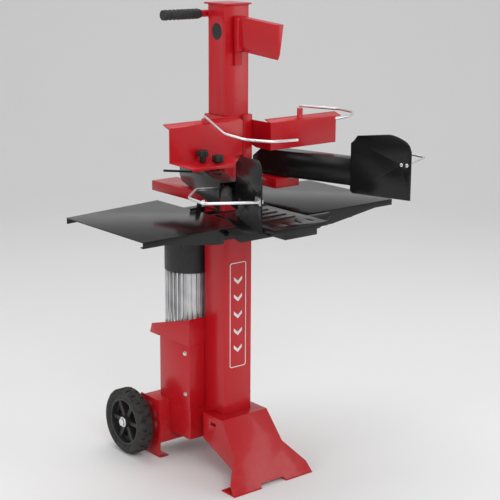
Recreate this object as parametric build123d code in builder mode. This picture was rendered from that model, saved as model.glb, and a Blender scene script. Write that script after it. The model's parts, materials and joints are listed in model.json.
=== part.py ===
"""Vertical electric log splitter: a hydraulic ram column carries a blade down onto a log that stands on
a platform, while two hand levers hold the log against the backrests.

The frame is +Z up with the floor at zero, X to the machine's right and -Y to the operator, so the blade
points towards -Y. Everything is measured from the front face of the fixed column. Millimetres.
"""

from build123d import *
import os
from math import cos, radians, sin

# ---- driving dimensions ---------------------------------------------------------------------------

front_y = 23.0  # where the fixed column's front face lies, with the whole machine centred on the origin
clearance = 0.3  # gap between faces that slide or turn past each other
running_fit = 0.1  # radial gap of a pin in its bore
left = -1  # the machine's left side, towards -X
right = 1

# fixed column
column_width = 110.0
column_depth = 101.0
column_wall = 5.0
column_foot_z = 82.0
column_top_z = 1148.0
slot_width = 40.0
slot_foot_z = 830.0

# ram: the column that slides inside the fixed one
ram_width = 91.0
ram_depth = 81.0
ram_front = 10.0
ram_foot_z = 720.0
ram_top_z = 1480.0
cap_width = 104.0
cap_thickness = 5.0
cap_front = 1.5
cap_rear = 107.0
pin_z = 1400.0
pin_radius = 10.0
plug_radius = 25.0
plug_thickness = 2.0

# blade, with the rib that carries it through the column's slot
blade_tilt = 4.3  # degrees that the blade points below level
blade_reach = 190.0
blade_height = 103.0
blade_top_z = 1448.0
blade_back_half = 14.0
blade_edge_half = 4.0
blade_bevel = 16.0
rib_half = 13.0
rib_foot_z = 1300.0
cheek_thickness = 6.0
cheek_reach = 24.0

# hydraulic cylinder
barrel_radius = 30.0
bore_radius = 25.0
barrel_foot_z = 90.0
barrel_top_z = 700.0
gland_height = 30.0
rod_radius = 15.0
piston_height = 30.0
piston_foot_z = 630.0

# transport handle
handle_radius = 11.0
handle_z = 1450.0
handle_tip_x = -192.0
handle_grip_x = -59.0
handle_grip_radius = 14.0
handle_plate = 4.0

# backrest wings, one on each side of the blade's way
wing_span = 323.0
wing_front = 88.0  # how far the web's front face lies before the column
wing_foot_z = 1046.0
wing_top_z = {left: 1148.0, right: 1130.0}
wing_lip_overhang = {left: 2.0, right: 20.0}
sheet = 3.0
wing_lip_depth = 26.0
wing_lip_rise = 9.0
shelf_front = 150.0
shelf_drop = 14.0
shelf_edge = 6.0
shelf_inner = 101.0
shelf_outer = 285.0  # at the shelf's front edge
wing_support_half = 55.0
wing_support_thickness = 4.0

# log-retaining wires that swivel in a bush on each wing
wire_radius = 4.0
wire_pivot_x = 185.0
wire_pivot_front = 72.0
wire_bush_radius = 9.0
wire_bush_foot_z = 1100.0
wire_bush_top_z = 1163.0
wire_top_z = 1170.0
wire_end_z = {left: 1126.0, right: 1174.0}  # the left wire droops, the right one lies level

# two-hand control: a yoke tilts on pins in the column, and an arm swings on each end of it
tilt_y = 40.0  # the tilt pins lie this far behind the column's front face
tilt_z = 930.0
tilt_pin_radius = 8.0
carrier_inner = 110.0
carrier_outer = 205.0
carrier_front = 50.0
carrier_rear = 170.0
carrier_foot_z = 915.0
carrier_top_z = 945.0
carrier_wall = 4.0
crossbar_y = 150.0
crossbar_radius = 10.0
arm_pin_x = 157.5
arm_pin_y = 20.0
arm_pin_radius = 8.0
arm_flare = {left: 19.0, right: 16.0}  # degrees that each arm rests swung outwards
arm_droop = {left: 0.061, right: 0.0}  # how much each arm falls for each millimetre forwards
arm_rise = {left: 5.0, right: 0.0}
arm_web_inner = -28.0  # places across an arm are counted outwards from its swing pin
arm_web_outer = 25.0
arm_foot_z = 948.0
arm_top_z = 1029.0
arm_tail = -60.0  # places along an arm are counted forwards from its swing pin
arm_end = 311.0
guard_start = 300.0
guard_end = 505.0
guard_foot_z = 926.0
guard_top_z = 1118.0
guard_crease_z = 1086.0
guard_bend = 20.0  # degrees that the guard's top strip leans inwards
guard_flange = 40.0

# hand levers in the arms' open ends, and the wire loops round the hands
lever_z = 998.0
lever_start = 232.0
lever_angle = 19.5  # degrees that a lever turns outwards from its arm
lever_length = 158.0
lever_bar_radius = 10.0
lever_grip_start = 50.0
lever_grip_radius = 14.0
loop_z = {left: 1017.0, right: 1031.0}
loop_radius = 4.0
bolt_head = 5.0

# valve rod that the yoke lifts
valve_x = 75.0
valve_rod_radius = 4.0
valve_back = 122.0  # how far the rod stands behind the column's front face
valve_rod_foot_z = 320.0
valve_body_foot_z = 258.0
valve_body_top_z = 358.0
valve_rod_top_z = 965.0

# table: centre plate, log platform and two wings
table_top_z = 857.0
table_half = 486.0
table_inner = 122.0
table_front = 185.0
table_rear_outer = 216.0
table_rear_inner = 260.0
table_edge = 16.0
table_return = 14.0
table_gusset_z = 811.0
centre_half = 200.0
centre_front = 206.0
platform_half = 105.0
platform_front = 297.0
platform_back = 20.0
platform_skirt_z = 822.0
platform_lip = 10.0
platform_beam_half = 62.0
front_rail = 165.0
rail_half = 330.0
rail_height = 36.0
rail_depth = 30.0

# table latches
latch_x = 105.0
latch_z = 838.0
latch_y = 60.0
latch_thickness = 8.0

# front foot
foot_half = 92.0
foot_front = 36.0
foot_rear = 60.0
foot_top_z = 190.0
foot_side_z = 102.0
foot_toe_front = 187.0
foot_sheet = 4.0
foot_flare = ((98.0, 100.0), (155.0, 33.0), (160.0, 6.0), (160.0, 0.0))  # half width at each height
foot_pad_depth = 66.0
foot_notch_half = 46.0
foot_notch_height = 13.0

# rear base
base_half = 115.0
base_foot_z = 88.0
base_top_z = 188.0
cross_front = 212.0
cross_rear = 300.0
cross_half = 153.0
cross_foot_z = 52.0
cross_top_z = 200.0
rear_plate_rear = 340.0
rear_pad_rear = 305.0
rear_pad_width = 36.0
plate = 4.0

# wheels
wheel_radius = 110.0
axle_z = 112.0  # the wheels clear the floor while the machine stands on its feet
axle_y = 318.0
axle_radius = 8.0
wheel_inner_x = 180.0
wheel_width = 50.0
tyre_inner_radius = 82.0
hub_radius = 20.0
spoke_count = 6
lug_count = 22

# motor, pump and their housing
motor_x = -40.0
motor_y = 200.0
motor_radius = 80.0
motor_core_radius = 66.0
motor_foot_z = 446.0
cowl_foot_z = 634.0
cowl_top_z = 750.0
fin_count = 30
fin_thickness = 3.0
rotor_radius = 38.0
shaft_radius = 9.0
cover_left = -115.0
cover_right = 35.0
cover_rear = 264.0
cover_foot_z = 188.0
cover_top_z = 405.0
bracket_front_z = 494.0
bracket_rear_z = 436.0
bracket_rear = 305.0
bracket_tab_rear = 317.0

# switch box
switch_x = 42.0
switch_depth = 56.0
switch_foot_z = 470.0
switch_top_z = 590.0
button_radius = 12.0

label_width = 65.0
label_foot_z = 342.0
label_top_z = 686.0
label_line = 2.6
label_thickness = 0.6

os.makedirs("parts", exist_ok=True)


# ---- shared helpers -------------------------------------------------------------------------------

def behind(distance):
    """The Y of a place this far behind the fixed column's front face."""
    return front_y + distance


def block(low, high, mode=Mode.ADD):
    """A block between two opposite corners, added to the open part."""
    size = [abs(b - a) for a, b in zip(low, high)]
    middle = tuple((a + b) / 2 for a, b in zip(low, high))
    with Locations(middle):
        Box(*size, mode=mode)


def round_bar(start, end, radius, mode=Mode.ADD):
    """A round bar between two points, added to the open part."""
    start = Vector(*start)
    along = Vector(*end) - start
    with BuildSketch(Plane(origin=start, z_dir=along)) as profile:
        Circle(radius)
    extrude(profile.sketch, amount=along.length, mode=mode)


def bent_bar(points, radius, bend):
    """A round bar bent along a route, added to the open part."""
    with BuildLine() as route:
        FilletPolyline(*points, radius=bend)
    with BuildSketch(Plane(origin=route.line @ 0, z_dir=route.line % 0)) as profile:
        Circle(radius)
    sweep(profile.sketch, path=route.line)


def flat_sheet(corners, thickness):
    """A flat sheet through 3-D corners, thickened to one side and added to the open part."""
    corners = [Vector(*corner) for corner in corners]
    along = corners[1] - corners[0]
    normal = along.cross(corners[2] - corners[0])
    plane = Plane(origin=corners[0], x_dir=along, z_dir=normal)
    flat = [plane.to_local_coords(corner) for corner in corners]
    with BuildSketch(plane) as profile:
        with BuildLine():
            Polyline(*[(corner.X, corner.Y) for corner in flat], close=True)
        make_face()
    extrude(profile.sketch, amount=thickness)


def side_plate(outline, start, end, mode=Mode.ADD):
    """A plate parallel to the YZ plane: its outline in (Y, Z), from one X to the other."""
    with BuildSketch(Plane.YZ.offset(start)) as profile:
        with BuildLine():
            Polyline(*outline, close=True)
        make_face()
    extrude(profile.sketch, amount=end - start, mode=mode)


def cross_plate(outline, start, end, mode=Mode.ADD):
    """A plate parallel to the XZ plane: its outline in (X, Z), from one Y to the other."""
    with BuildSketch(Plane.XZ.offset(-start)) as profile:
        with BuildLine():
            Polyline(*outline, close=True)
        make_face()
    extrude(profile.sketch, amount=start - end, mode=mode)


def hex_head(center, direction, height, radius):
    """A hexagon bolt head standing on a face, added to the open part."""
    with BuildSketch(Plane(origin=center, z_dir=direction)) as profile:
        RegularPolygon(radius=radius, side_count=6)
    extrude(profile.sketch, amount=height)


def save(piece, name):
    """Label a finished piece and write it to its own STEP file."""
    piece.part.label = name
    export_step(piece.part, f"parts/{name}.step")


# ---- fixed column ---------------------------------------------------------------------------------

half_column = column_width / 2
column_mid = behind(column_depth / 2)

with BuildPart() as column:
    block((-half_column, behind(0), column_foot_z), (half_column, behind(column_depth), column_top_z))
    block((-half_column + column_wall, behind(column_wall), column_foot_z + column_wall),
          (half_column - column_wall, behind(column_depth - column_wall), column_top_z), Mode.SUBTRACT)
    block((-slot_width / 2, behind(0), slot_foot_z), (slot_width / 2, behind(column_wall), column_top_z),
          Mode.SUBTRACT)
save(column, "column")

label_plane = Plane(origin=(0, behind(0), 0), x_dir=(1, 0, 0), z_dir=(0, -1, 0))
label_height = label_top_z - label_foot_z
label_mid = (label_top_z + label_foot_z) / 2
chevron_count = 5
chevron_pitch = 56.0
chevron_half = 16.0
chevron_rise = 14.0
chevron_bar = 11.0

with BuildPart() as label_frame:
    with BuildSketch(label_plane):
        with Locations((0, label_mid)):
            RectangleRounded(label_width, label_height, 8)
            RectangleRounded(label_width - 2 * label_line, label_height - 2 * label_line, 6,
                             mode=Mode.SUBTRACT)
        for index in range(chevron_count):
            middle = label_mid + (index - (chevron_count - 1) / 2) * chevron_pitch
            with BuildLine():
                Polyline((-chevron_half, middle + chevron_rise), (0, middle),
                         (chevron_half, middle + chevron_rise),
                         (chevron_half, middle + chevron_rise - chevron_bar), (0, middle - chevron_bar),
                         (-chevron_half, middle + chevron_rise - chevron_bar), close=True)
            make_face()
    extrude(amount=label_thickness)
save(label_frame, "label_frame")

pad_thickness = (column_width / 2 - column_wall) - ram_width / 2 - clearance
pad_front_thickness = ram_front - column_wall - clearance
pad_rear_thickness = column_depth - column_wall - ram_front - ram_depth - clearance
pad_height = 60.0

with BuildPart() as guide_pads:
    for pad_z in (column_top_z - pad_height - 5, ram_foot_z + 20):
        for side in (left, right):
            inner = half_column - column_wall
            block((side * inner, column_mid - 20, pad_z),
                  (side * (inner - pad_thickness), column_mid + 20, pad_z + pad_height))
            block((side * 24, behind(column_wall), pad_z),
                  (side * 42, behind(column_wall + pad_front_thickness), pad_z + pad_height))
        rear_face = column_depth - column_wall
        block((-25, behind(rear_face - pad_rear_thickness), pad_z), (25, behind(rear_face), pad_z + pad_height))
save(guide_pads, "guide_pads")


# ---- ram column, cap and blade --------------------------------------------------------------------

half_ram = ram_width / 2
ram_mid = behind(ram_front + ram_depth / 2)

with BuildPart() as ram_column:
    block((-half_ram, behind(ram_front), ram_foot_z), (half_ram, behind(ram_front + ram_depth), ram_top_z))
    block((-half_ram + column_wall, behind(ram_front + column_wall), ram_foot_z),
          (half_ram - column_wall, behind(ram_front + ram_depth - column_wall), ram_top_z), Mode.SUBTRACT)
    round_bar((-half_ram, ram_mid, pin_z), (half_ram, ram_mid, pin_z), pin_radius, Mode.SUBTRACT)
    for side in (left, right):
        round_bar((side * (half_ram - plug_thickness), ram_mid, pin_z), (side * half_ram, ram_mid, pin_z),
                  plug_radius, Mode.SUBTRACT)
save(ram_column, "ram_column")

with BuildPart() as ram_cap:
    block((-cap_width / 2, behind(cap_front), ram_top_z),
          (cap_width / 2, behind(cap_rear), ram_top_z + cap_thickness))
    fillet(ram_cap.edges().filter_by(Axis.Z), radius=4)
save(ram_cap, "ram_cap")

blade_root = ram_front
blade_axis = Vector(0, -cos(radians(blade_tilt)), -sin(radians(blade_tilt)))
blade_plane = Plane(origin=(0, behind(blade_root), blade_top_z), x_dir=(1, 0, 0), z_dir=blade_axis)
rib_gap = 1.5  # the blade's cheeks pass this far in front of the fixed column

with BuildPart() as blade:
    with BuildSketch(blade_plane):
        with BuildLine():
            Polyline((-blade_back_half, 0), (-blade_edge_half - 3, blade_bevel - blade_height),
                     (-1, -blade_height), (1, -blade_height),
                     (blade_edge_half + 3, blade_bevel - blade_height), (blade_back_half, 0), close=True)
        make_face()
    extrude(amount=blade_root + blade_reach)
    block((-ram_width / 2, behind(ram_front), rib_foot_z - 20), (ram_width / 2, behind(ram_front + 20), ram_top_z),
          Mode.SUBTRACT)
    block((-rib_half, behind(rib_gap - 1), rib_foot_z), (rib_half, behind(ram_front), blade_top_z))
    for side in (left, right):
        side_plate([(behind(-rib_gap), blade_top_z - blade_height - 6), (behind(-rib_gap), blade_top_z),
                    (behind(-cheek_reach), blade_top_z - 8), (behind(-cheek_reach), blade_top_z - blade_height)],
                   side * (blade_edge_half + 1), side * (blade_back_half + cheek_thickness))
save(blade, "blade")


# ---- transport handle on the ram's cap ------------------------------------------------------------

handle_y = behind(cap_rear + handle_radius - 2)

with BuildPart() as transport_handle:
    block((-34, behind(cap_rear - handle_plate), handle_z - 14), (34, behind(cap_rear), ram_top_z))
    round_bar((36, handle_y, handle_z), (handle_tip_x, handle_y, handle_z), handle_radius)
    round_bar((36, handle_y, handle_z), (handle_tip_x, handle_y, handle_z), handle_radius - 2.5, Mode.SUBTRACT)
save(transport_handle, "transport_handle")

with BuildPart() as transport_grip:
    with BuildSketch(Plane(origin=(0, handle_y, handle_z), x_dir=(1, 0, 0), z_dir=(0, -1, 0))):
        with BuildLine():
            Polyline((handle_grip_x, handle_radius), (handle_grip_x, handle_grip_radius - 1),
                     (handle_grip_x - 8, handle_grip_radius + 1), (handle_grip_x - 70, handle_grip_radius + 1.5),
                     (handle_grip_x - 124, handle_grip_radius - 1), (handle_grip_x - 128, handle_grip_radius + 2),
                     (handle_tip_x - 6, handle_grip_radius + 1), (handle_tip_x - 6, 0), (handle_tip_x, 0),
                     (handle_tip_x, handle_radius), close=True)
        make_face()
    revolve(axis=Axis((0, handle_y, handle_z), (1, 0, 0)))
save(transport_grip, "transport_grip")


# ---- hydraulic cylinder inside the columns --------------------------------------------------------

with BuildPart() as cylinder_barrel:
    round_bar((0, ram_mid, barrel_foot_z), (0, ram_mid, barrel_top_z), barrel_radius)
    round_bar((0, ram_mid, barrel_foot_z + 20), (0, ram_mid, barrel_top_z - gland_height), bore_radius,
              Mode.SUBTRACT)
    round_bar((0, ram_mid, barrel_top_z - gland_height), (0, ram_mid, barrel_top_z), rod_radius + running_fit,
              Mode.SUBTRACT)
save(cylinder_barrel, "cylinder_barrel")

eye_radius = 22.0
pin_reach = half_ram - plug_thickness

with BuildPart() as piston_rod:
    round_bar((0, ram_mid, piston_foot_z), (0, ram_mid, piston_foot_z + piston_height),
              bore_radius - running_fit)
    round_bar((0, ram_mid, piston_foot_z), (0, ram_mid, pin_z), rod_radius)
    round_bar((-12, ram_mid, pin_z), (12, ram_mid, pin_z), eye_radius)
    round_bar((-pin_reach, ram_mid, pin_z), (pin_reach, ram_mid, pin_z), pin_radius - running_fit)
save(piston_rod, "piston_rod")

with BuildPart() as pin_plugs:
    for side in (left, right):
        round_bar((side * (half_ram - plug_thickness), ram_mid, pin_z), (side * half_ram, ram_mid, pin_z),
                  plug_radius - running_fit)
save(pin_plugs, "pin_plugs")


# ---- backrest wings -------------------------------------------------------------------------------

def make_wing(side):
    """One backrest: web, rolled top lip, support plate to the column, and a bottom flange."""
    web_back = wing_front - sheet
    top_z = wing_top_z[side]
    with BuildPart() as wing:
        block((side * wing_support_half, behind(-wing_front), wing_foot_z),
              (side * wing_span, behind(-web_back), top_z))
        side_plate([(behind(-web_back - sheet), top_z), (behind(-web_back - sheet), top_z - sheet),
                    (behind(-web_back), top_z - sheet),
                    (behind(-web_back + wing_lip_depth), top_z + wing_lip_rise - sheet),
                    (behind(-web_back + wing_lip_depth), top_z + wing_lip_rise)],
                   side * wing_support_half, side * (wing_span + wing_lip_overhang[side]))
        side_plate([(behind(-web_back), wing_foot_z), (behind(-web_back), top_z), (behind(84), top_z),
                    (behind(84), wing_foot_z + 26), (behind(-20), wing_foot_z)],
                   side * wing_support_half, side * (wing_support_half + wing_support_thickness))
        if side == left:
            flat_sheet([(side * shelf_inner, behind(-wing_front), wing_foot_z + sheet),
                        (side * wing_span, behind(-wing_front), wing_foot_z + sheet),
                        (side * shelf_outer, behind(-shelf_front), wing_foot_z + sheet - shelf_drop),
                        (side * shelf_inner, behind(-shelf_front), wing_foot_z + sheet - shelf_drop)], -sheet)
            block((side * shelf_inner, behind(-shelf_front), wing_foot_z - shelf_drop - shelf_edge),
                  (side * shelf_outer, behind(-shelf_front + sheet), wing_foot_z + sheet - shelf_drop))
            for knob_x, knob_front, stud_height in knob_places:
                knob_hole_z = shelf_z(knob_front)
                round_bar((knob_x, behind(-knob_front), knob_hole_z - 20),
                          (knob_x, behind(-knob_front), knob_hole_z + 20), knob_stud_radius + 0.5, Mode.SUBTRACT)
        else:
            block((side * (wing_support_half + wing_support_thickness), behind(-web_back), wing_foot_z),
                  (side * wing_span, behind(-web_back + 24), wing_foot_z + sheet))
        pivot_y = behind(-wire_pivot_front)
        round_bar((side * wire_pivot_x, pivot_y, wire_bush_foot_z), (side * wire_pivot_x, pivot_y, wire_bush_top_z),
                  wire_bush_radius)
        block((side * wire_pivot_x - 5, behind(-web_back), wire_bush_foot_z),
              (side * wire_pivot_x + 5, pivot_y, top_z - sheet))
        round_bar((side * wire_pivot_x, pivot_y, wire_bush_foot_z), (side * wire_pivot_x, pivot_y, wire_bush_top_z),
                  wire_radius + running_fit, Mode.SUBTRACT)
    return wing


def shelf_z(distance):
    """The height of the left wing's shelf this far in front of the column."""
    slope = shelf_drop / (shelf_front - wing_front)
    return wing_foot_z + sheet - (distance - wing_front) * slope


knob_places = ((-222.0, 112.0, 18.0), (-178.0, 128.0, 5.0))  # X, reach forwards, height over the shelf
knob_stud_radius = 4.0
knob_stud_tail = 10.0
knob_radius = 18.0
knob_height = 17.0
knob_arms = 5

wing_left = make_wing(left)
save(wing_left, "wing_left")
wing_right = make_wing(right)
save(wing_right, "wing_right")


def make_knob(knob_x, knob_front, stud_height):
    """A star knob on its stud, standing through the left wing's shelf."""
    top = shelf_z(knob_front)
    knob_y = behind(-knob_front)
    with BuildPart() as knob:
        round_bar((knob_x, knob_y, top - knob_stud_tail), (knob_x, knob_y, top + stud_height), knob_stud_radius)
        round_bar((knob_x, knob_y, top + 3), (knob_x, knob_y, top + stud_height), knob_stud_radius + 5)
        with BuildSketch(Plane.XY.offset(top + stud_height)):
            with Locations((knob_x, knob_y)):
                Circle(knob_radius - 5)
                with PolarLocations(knob_radius - 6, knob_arms):
                    Circle(6)
        extrude(amount=knob_height)
        fillet(knob.edges().group_by(Axis.Z)[-1], radius=2)
    return knob


for place, name in zip(knob_places, ("star_knob_outer", "star_knob_inner")):
    save(make_knob(*place), name)


def make_wire(side):
    """A log-retaining wire: an upright leg in the wing's bush, then a sweep round the log."""
    end_z = wire_end_z[side]
    droop = wire_top_z - end_z
    pivot_x = side * wire_pivot_x
    pivot_y = behind(-wire_pivot_front)
    with BuildPart() as wire:
        bent_bar([(pivot_x, pivot_y, wire_bush_foot_z + 4), (pivot_x, pivot_y, wire_top_z),
                  (pivot_x + side * 37, pivot_y - 140, wire_top_z - 0.7 * droop),
                  (pivot_x + side * 21, pivot_y - 218, end_z + 0.1 * droop),
                  (pivot_x - side * 35, pivot_y - 268, end_z), (pivot_x - side * 113, pivot_y - 285, end_z)],
                 wire_radius, [5, 60, 50, 60])
    return wire


save(make_wire(left), "log_wire_left")
save(make_wire(right), "log_wire_right")


# ---- control yoke ---------------------------------------------------------------------------------

def make_carrier(side):
    """One end of the yoke: a channel, open below, that tilts on the column's pin."""
    inner = side * carrier_inner
    outer = side * carrier_outer
    with BuildPart() as carrier:
        block((inner, behind(-carrier_front), carrier_foot_z), (outer, behind(carrier_rear), carrier_top_z))
        block((inner + side * carrier_wall, behind(-carrier_front + carrier_wall), carrier_foot_z),
              (outer - side * carrier_wall, behind(carrier_rear - carrier_wall), carrier_top_z - carrier_wall),
              Mode.SUBTRACT)
        round_bar((inner, behind(tilt_y), tilt_z), (inner + side * carrier_wall, behind(tilt_y), tilt_z),
                  tilt_pin_radius + running_fit, Mode.SUBTRACT)
        sleeve_foot_z = arm_foot_z + arm_rise[side] - clearance
        arm_lid_z = arm_top_z + arm_rise[side] + 1.5
        round_bar((side * arm_pin_x, behind(arm_pin_y), carrier_top_z),
                  (side * arm_pin_x, behind(arm_pin_y), sleeve_foot_z), 2 * arm_pin_radius)
        round_bar((side * arm_pin_x, behind(arm_pin_y), sleeve_foot_z),
                  (side * arm_pin_x, behind(arm_pin_y), arm_lid_z + 3), arm_pin_radius)
        hex_head((side * arm_pin_x, behind(arm_pin_y), arm_lid_z), (0, 0, 1), 8, 13)
    return carrier


for side, name in ((left, "carrier_left"), (right, "carrier_right")):
    save(make_carrier(side), name)

tab_half = 14.0
tab_thickness = 5.0
tab_hole_radius = 8.0
valve_y = behind(valve_back)

with BuildPart() as yoke_crossbar:
    round_bar((-carrier_inner, behind(crossbar_y), tilt_z), (carrier_inner, behind(crossbar_y), tilt_z),
              crossbar_radius)
    block((valve_x - tab_half, valve_y - tab_half, tilt_z - tab_thickness / 2),
          (valve_x + tab_half, behind(crossbar_y), tilt_z + tab_thickness / 2))
    round_bar((valve_x, valve_y, tilt_z - tab_thickness), (valve_x, valve_y, tilt_z + tab_thickness),
              tab_hole_radius, Mode.SUBTRACT)
save(yoke_crossbar, "yoke_crossbar")

valve_nut_gap = 3.0

with BuildPart() as valve_rod:
    round_bar((valve_x, valve_y, valve_rod_foot_z), (valve_x, valve_y, valve_rod_top_z), valve_rod_radius)
    for nut_z in (tilt_z + tab_thickness / 2 + valve_nut_gap, tilt_z - tab_thickness / 2 - valve_nut_gap - 8):
        hex_head((valve_x, valve_y, nut_z), (0, 0, 1), 8, 11)
save(valve_rod, "valve_rod")

with BuildPart() as yoke_pins:
    for side in (left, right):
        pin_end = carrier_outer - 2 * carrier_wall
        round_bar((side * half_column, behind(tilt_y), tilt_z), (side * pin_end, behind(tilt_y), tilt_z),
                  tilt_pin_radius)
        round_bar((side * half_column, behind(tilt_y), tilt_z),
                  (side * (carrier_inner - clearance), behind(tilt_y), tilt_z), tilt_pin_radius + 5)
        round_bar((side * (carrier_inner + carrier_wall + clearance), behind(tilt_y), tilt_z),
                  (side * (carrier_inner + carrier_wall + 6), behind(tilt_y), tilt_z), tilt_pin_radius + 2)
save(yoke_pins, "yoke_pins")


# ---- control arms, guards, levers and hand loops --------------------------------------------------

def arm_frame(side):
    """The plane that an arm's web is drawn in: forwards along the arm, then up."""
    flare = radians(arm_flare[side])
    forwards = Vector(side * sin(flare), -cos(flare), 0)
    return Plane(origin=(side * arm_pin_x, behind(arm_pin_y), 0), x_dir=forwards,
                 z_dir=forwards.cross(Vector(0, 0, 1)))


def fallen(side, along, height):
    """The height that a place along an arm has once the arm's droop is counted."""
    return height + arm_rise[side] - arm_droop[side] * along


def arm_point(side, along, across, height):
    """A point given along, across and up an arm, in the machine's frame."""
    plane = arm_frame(side)
    level = plane.origin + plane.x_dir * along - plane.z_dir * (side * across)
    return level + Vector(0, 0, fallen(side, along, height))


def arm_sheet(side, outline, inner, outer, mode=Mode.ADD):
    """A sheet parallel to an arm's web: its outline in (along, height), from one place across to another."""
    with BuildSketch(arm_frame(side).offset(-side * inner)) as profile:
        with BuildLine():
            Polyline(*[(along, fallen(side, along, height)) for along, height in outline], close=True)
        make_face()
    extrude(profile.sketch, amount=-side * (outer - inner), mode=mode)


def arm_block(side, low, high, mode=Mode.ADD):
    """A block given along, across and up an arm."""
    outline = [(low[0], low[2]), (high[0], low[2]), (high[0], high[2]), (low[0], high[2])]
    arm_sheet(side, outline, low[1], high[1], mode)


def make_arm(side):
    """A folded arm: a channel open below and in front, with a sleeve for its swing pin."""
    web = [(arm_tail, arm_foot_z + 14), (arm_tail, arm_top_z - 26), (arm_tail + 30, arm_top_z),
           (arm_end, arm_top_z), (arm_end, arm_foot_z), (arm_tail + 20, arm_foot_z)]
    sleeve_foot = Vector(side * arm_pin_x, behind(arm_pin_y), arm_foot_z + arm_rise[side])
    sleeve_top = sleeve_foot + Vector(0, 0, arm_top_z - arm_foot_z - sheet / 2)
    with BuildPart() as arm:
        arm_sheet(side, web, arm_web_inner, arm_web_inner + sheet)
        arm_sheet(side, web, arm_web_outer - sheet, arm_web_outer)
        arm_block(side, (arm_tail + 30, arm_web_inner, arm_top_z - sheet), (arm_end, arm_web_outer, arm_top_z))
        arm_block(side, (arm_tail, arm_web_inner, arm_foot_z + 14), (arm_tail + sheet, arm_web_outer, arm_top_z - 26))
        round_bar(sleeve_foot, sleeve_top, arm_pin_radius + 5)
        round_bar(sleeve_foot, sleeve_top + Vector(0, 0, 20), arm_pin_radius + running_fit, Mode.SUBTRACT)
    return arm


def make_guard(side):
    """A guard plate inside the arm's web: cut rear corner, round front corner, and a leaning top strip."""
    inner = arm_web_inner - sheet
    crease_rear = guard_start + 9
    crease_front = guard_end - 6
    lean = radians(guard_bend)
    strip_height = guard_top_z - guard_crease_z
    with BuildPart() as guard:
        arm_sheet(side, [(guard_start, guard_foot_z + 8), (guard_start, guard_crease_z - 8),
                         (crease_rear, guard_crease_z), (crease_front, guard_crease_z),
                         (guard_end, guard_crease_z - 16), (guard_end, guard_foot_z),
                         (guard_start + 8, guard_foot_z)], inner, arm_web_inner)
        crease_origin = arm_point(side, crease_rear, arm_web_inner, guard_crease_z)
        along = arm_point(side, crease_front, arm_web_inner, guard_crease_z) - crease_origin
        upwards = Vector(0, 0, cos(lean)) + arm_frame(side).z_dir * (side * sin(lean))
        with BuildSketch(Plane(origin=crease_origin, x_dir=along, z_dir=along.cross(upwards))) as strip:
            with BuildLine():
                Polyline((along.length, 0), (0, 0), (16, 0.6 * strip_height),
                         (along.length - 66, strip_height / cos(lean)))
                Spline((along.length - 66, strip_height / cos(lean)), (along.length - 26, 0.76 * strip_height),
                       (along.length, 0), tangents=((1, 0.05), (0.35, -1)))
            make_face()
        extrude(strip.sketch, amount=side * sheet)
        flat_sheet([arm_point(side, guard_start + 8, inner, guard_foot_z),
                    arm_point(side, guard_end, inner, guard_foot_z),
                    arm_point(side, guard_end - guard_flange, inner + guard_flange, guard_foot_z),
                    arm_point(side, guard_start + 8, inner + guard_flange, guard_foot_z)], side * sheet)
        for bolt in loop_bolts:
            round_bar(arm_point(side, bolt, inner, loop_z[side]), arm_point(side, bolt, arm_web_inner, loop_z[side]),
                      loop_bolt_radius + 0.2, Mode.SUBTRACT)
    return guard


def lever_point(side, distance):
    """A point on a hand lever's centre line, this far from where it leaves the arm's web."""
    turn = radians(lever_angle)
    root = arm_web_inner + sheet
    return arm_point(side, lever_start + distance * cos(turn), root + distance * sin(turn), lever_z)


def make_lever_bar(side):
    """The bar of a hand lever, welded aslant to the inside of the arm's web."""
    with BuildPart() as bar:
        round_bar(lever_point(side, -30), lever_point(side, lever_length), lever_bar_radius)
        arm_block(side, (arm_tail, arm_web_inner - 60, arm_foot_z - 60),
                  (arm_end, arm_web_inner + sheet, arm_top_z), Mode.SUBTRACT)
    return bar


def make_lever_grip(side):
    """The ribbed grip on a hand lever, closed at its tip."""
    rings = 6
    pitch = (lever_length - lever_grip_start) / (rings + 1)
    with BuildPart() as grip:
        round_bar(lever_point(side, lever_grip_start), lever_point(side, lever_length + 6), lever_grip_radius)
        for ring in range(rings):
            ring_start = lever_grip_start + pitch * (ring + 0.7)
            round_bar(lever_point(side, ring_start), lever_point(side, ring_start + 0.5 * pitch),
                      lever_grip_radius + 1.5)
        round_bar(lever_point(side, lever_grip_start), lever_point(side, lever_length), lever_bar_radius,
                  Mode.SUBTRACT)
    return grip


loop_bolts = (475.0, 493.0)
loop_bolt_radius = 3.0
loop_tab = 4.0


def make_hand_loop(side):
    """The wire loop that keeps a hand off the log, with its bolted tab."""
    face = arm_web_inner
    level = loop_z[side]
    inner = arm_web_inner - sheet
    with BuildPart() as loop:
        arm_block(side, (466, face, level - 9), (502, face + loop_tab, level + 9))
        bent_bar([arm_point(side, 497, face + loop_tab, level), arm_point(side, 472, 122, level),
                  arm_point(side, 408, 146, level), arm_point(side, 322, 96, level),
                  arm_point(side, 300, arm_web_outer + loop_radius, level - 8)], loop_radius, [26, 34, 40])
        for bolt in loop_bolts:
            shank_end = arm_point(side, bolt, inner, level)
            shank_start = arm_point(side, bolt, face, level)
            round_bar(shank_end, shank_start, loop_bolt_radius)
            hex_head(shank_end, shank_end - shank_start, bolt_head, 6)
    return loop


for side, tail in ((left, "left"), (right, "right")):
    save(make_arm(side), f"arm_{tail}")
    save(make_guard(side), f"guard_{tail}")
    save(make_lever_bar(side), f"lever_bar_{tail}")
    save(make_lever_grip(side), f"lever_grip_{tail}")
    save(make_hand_loop(side), f"hand_loop_{tail}")


# ---- table ----------------------------------------------------------------------------------------

wing_sheet_z = table_top_z - sheet
centre_z = wing_sheet_z - sheet

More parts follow.
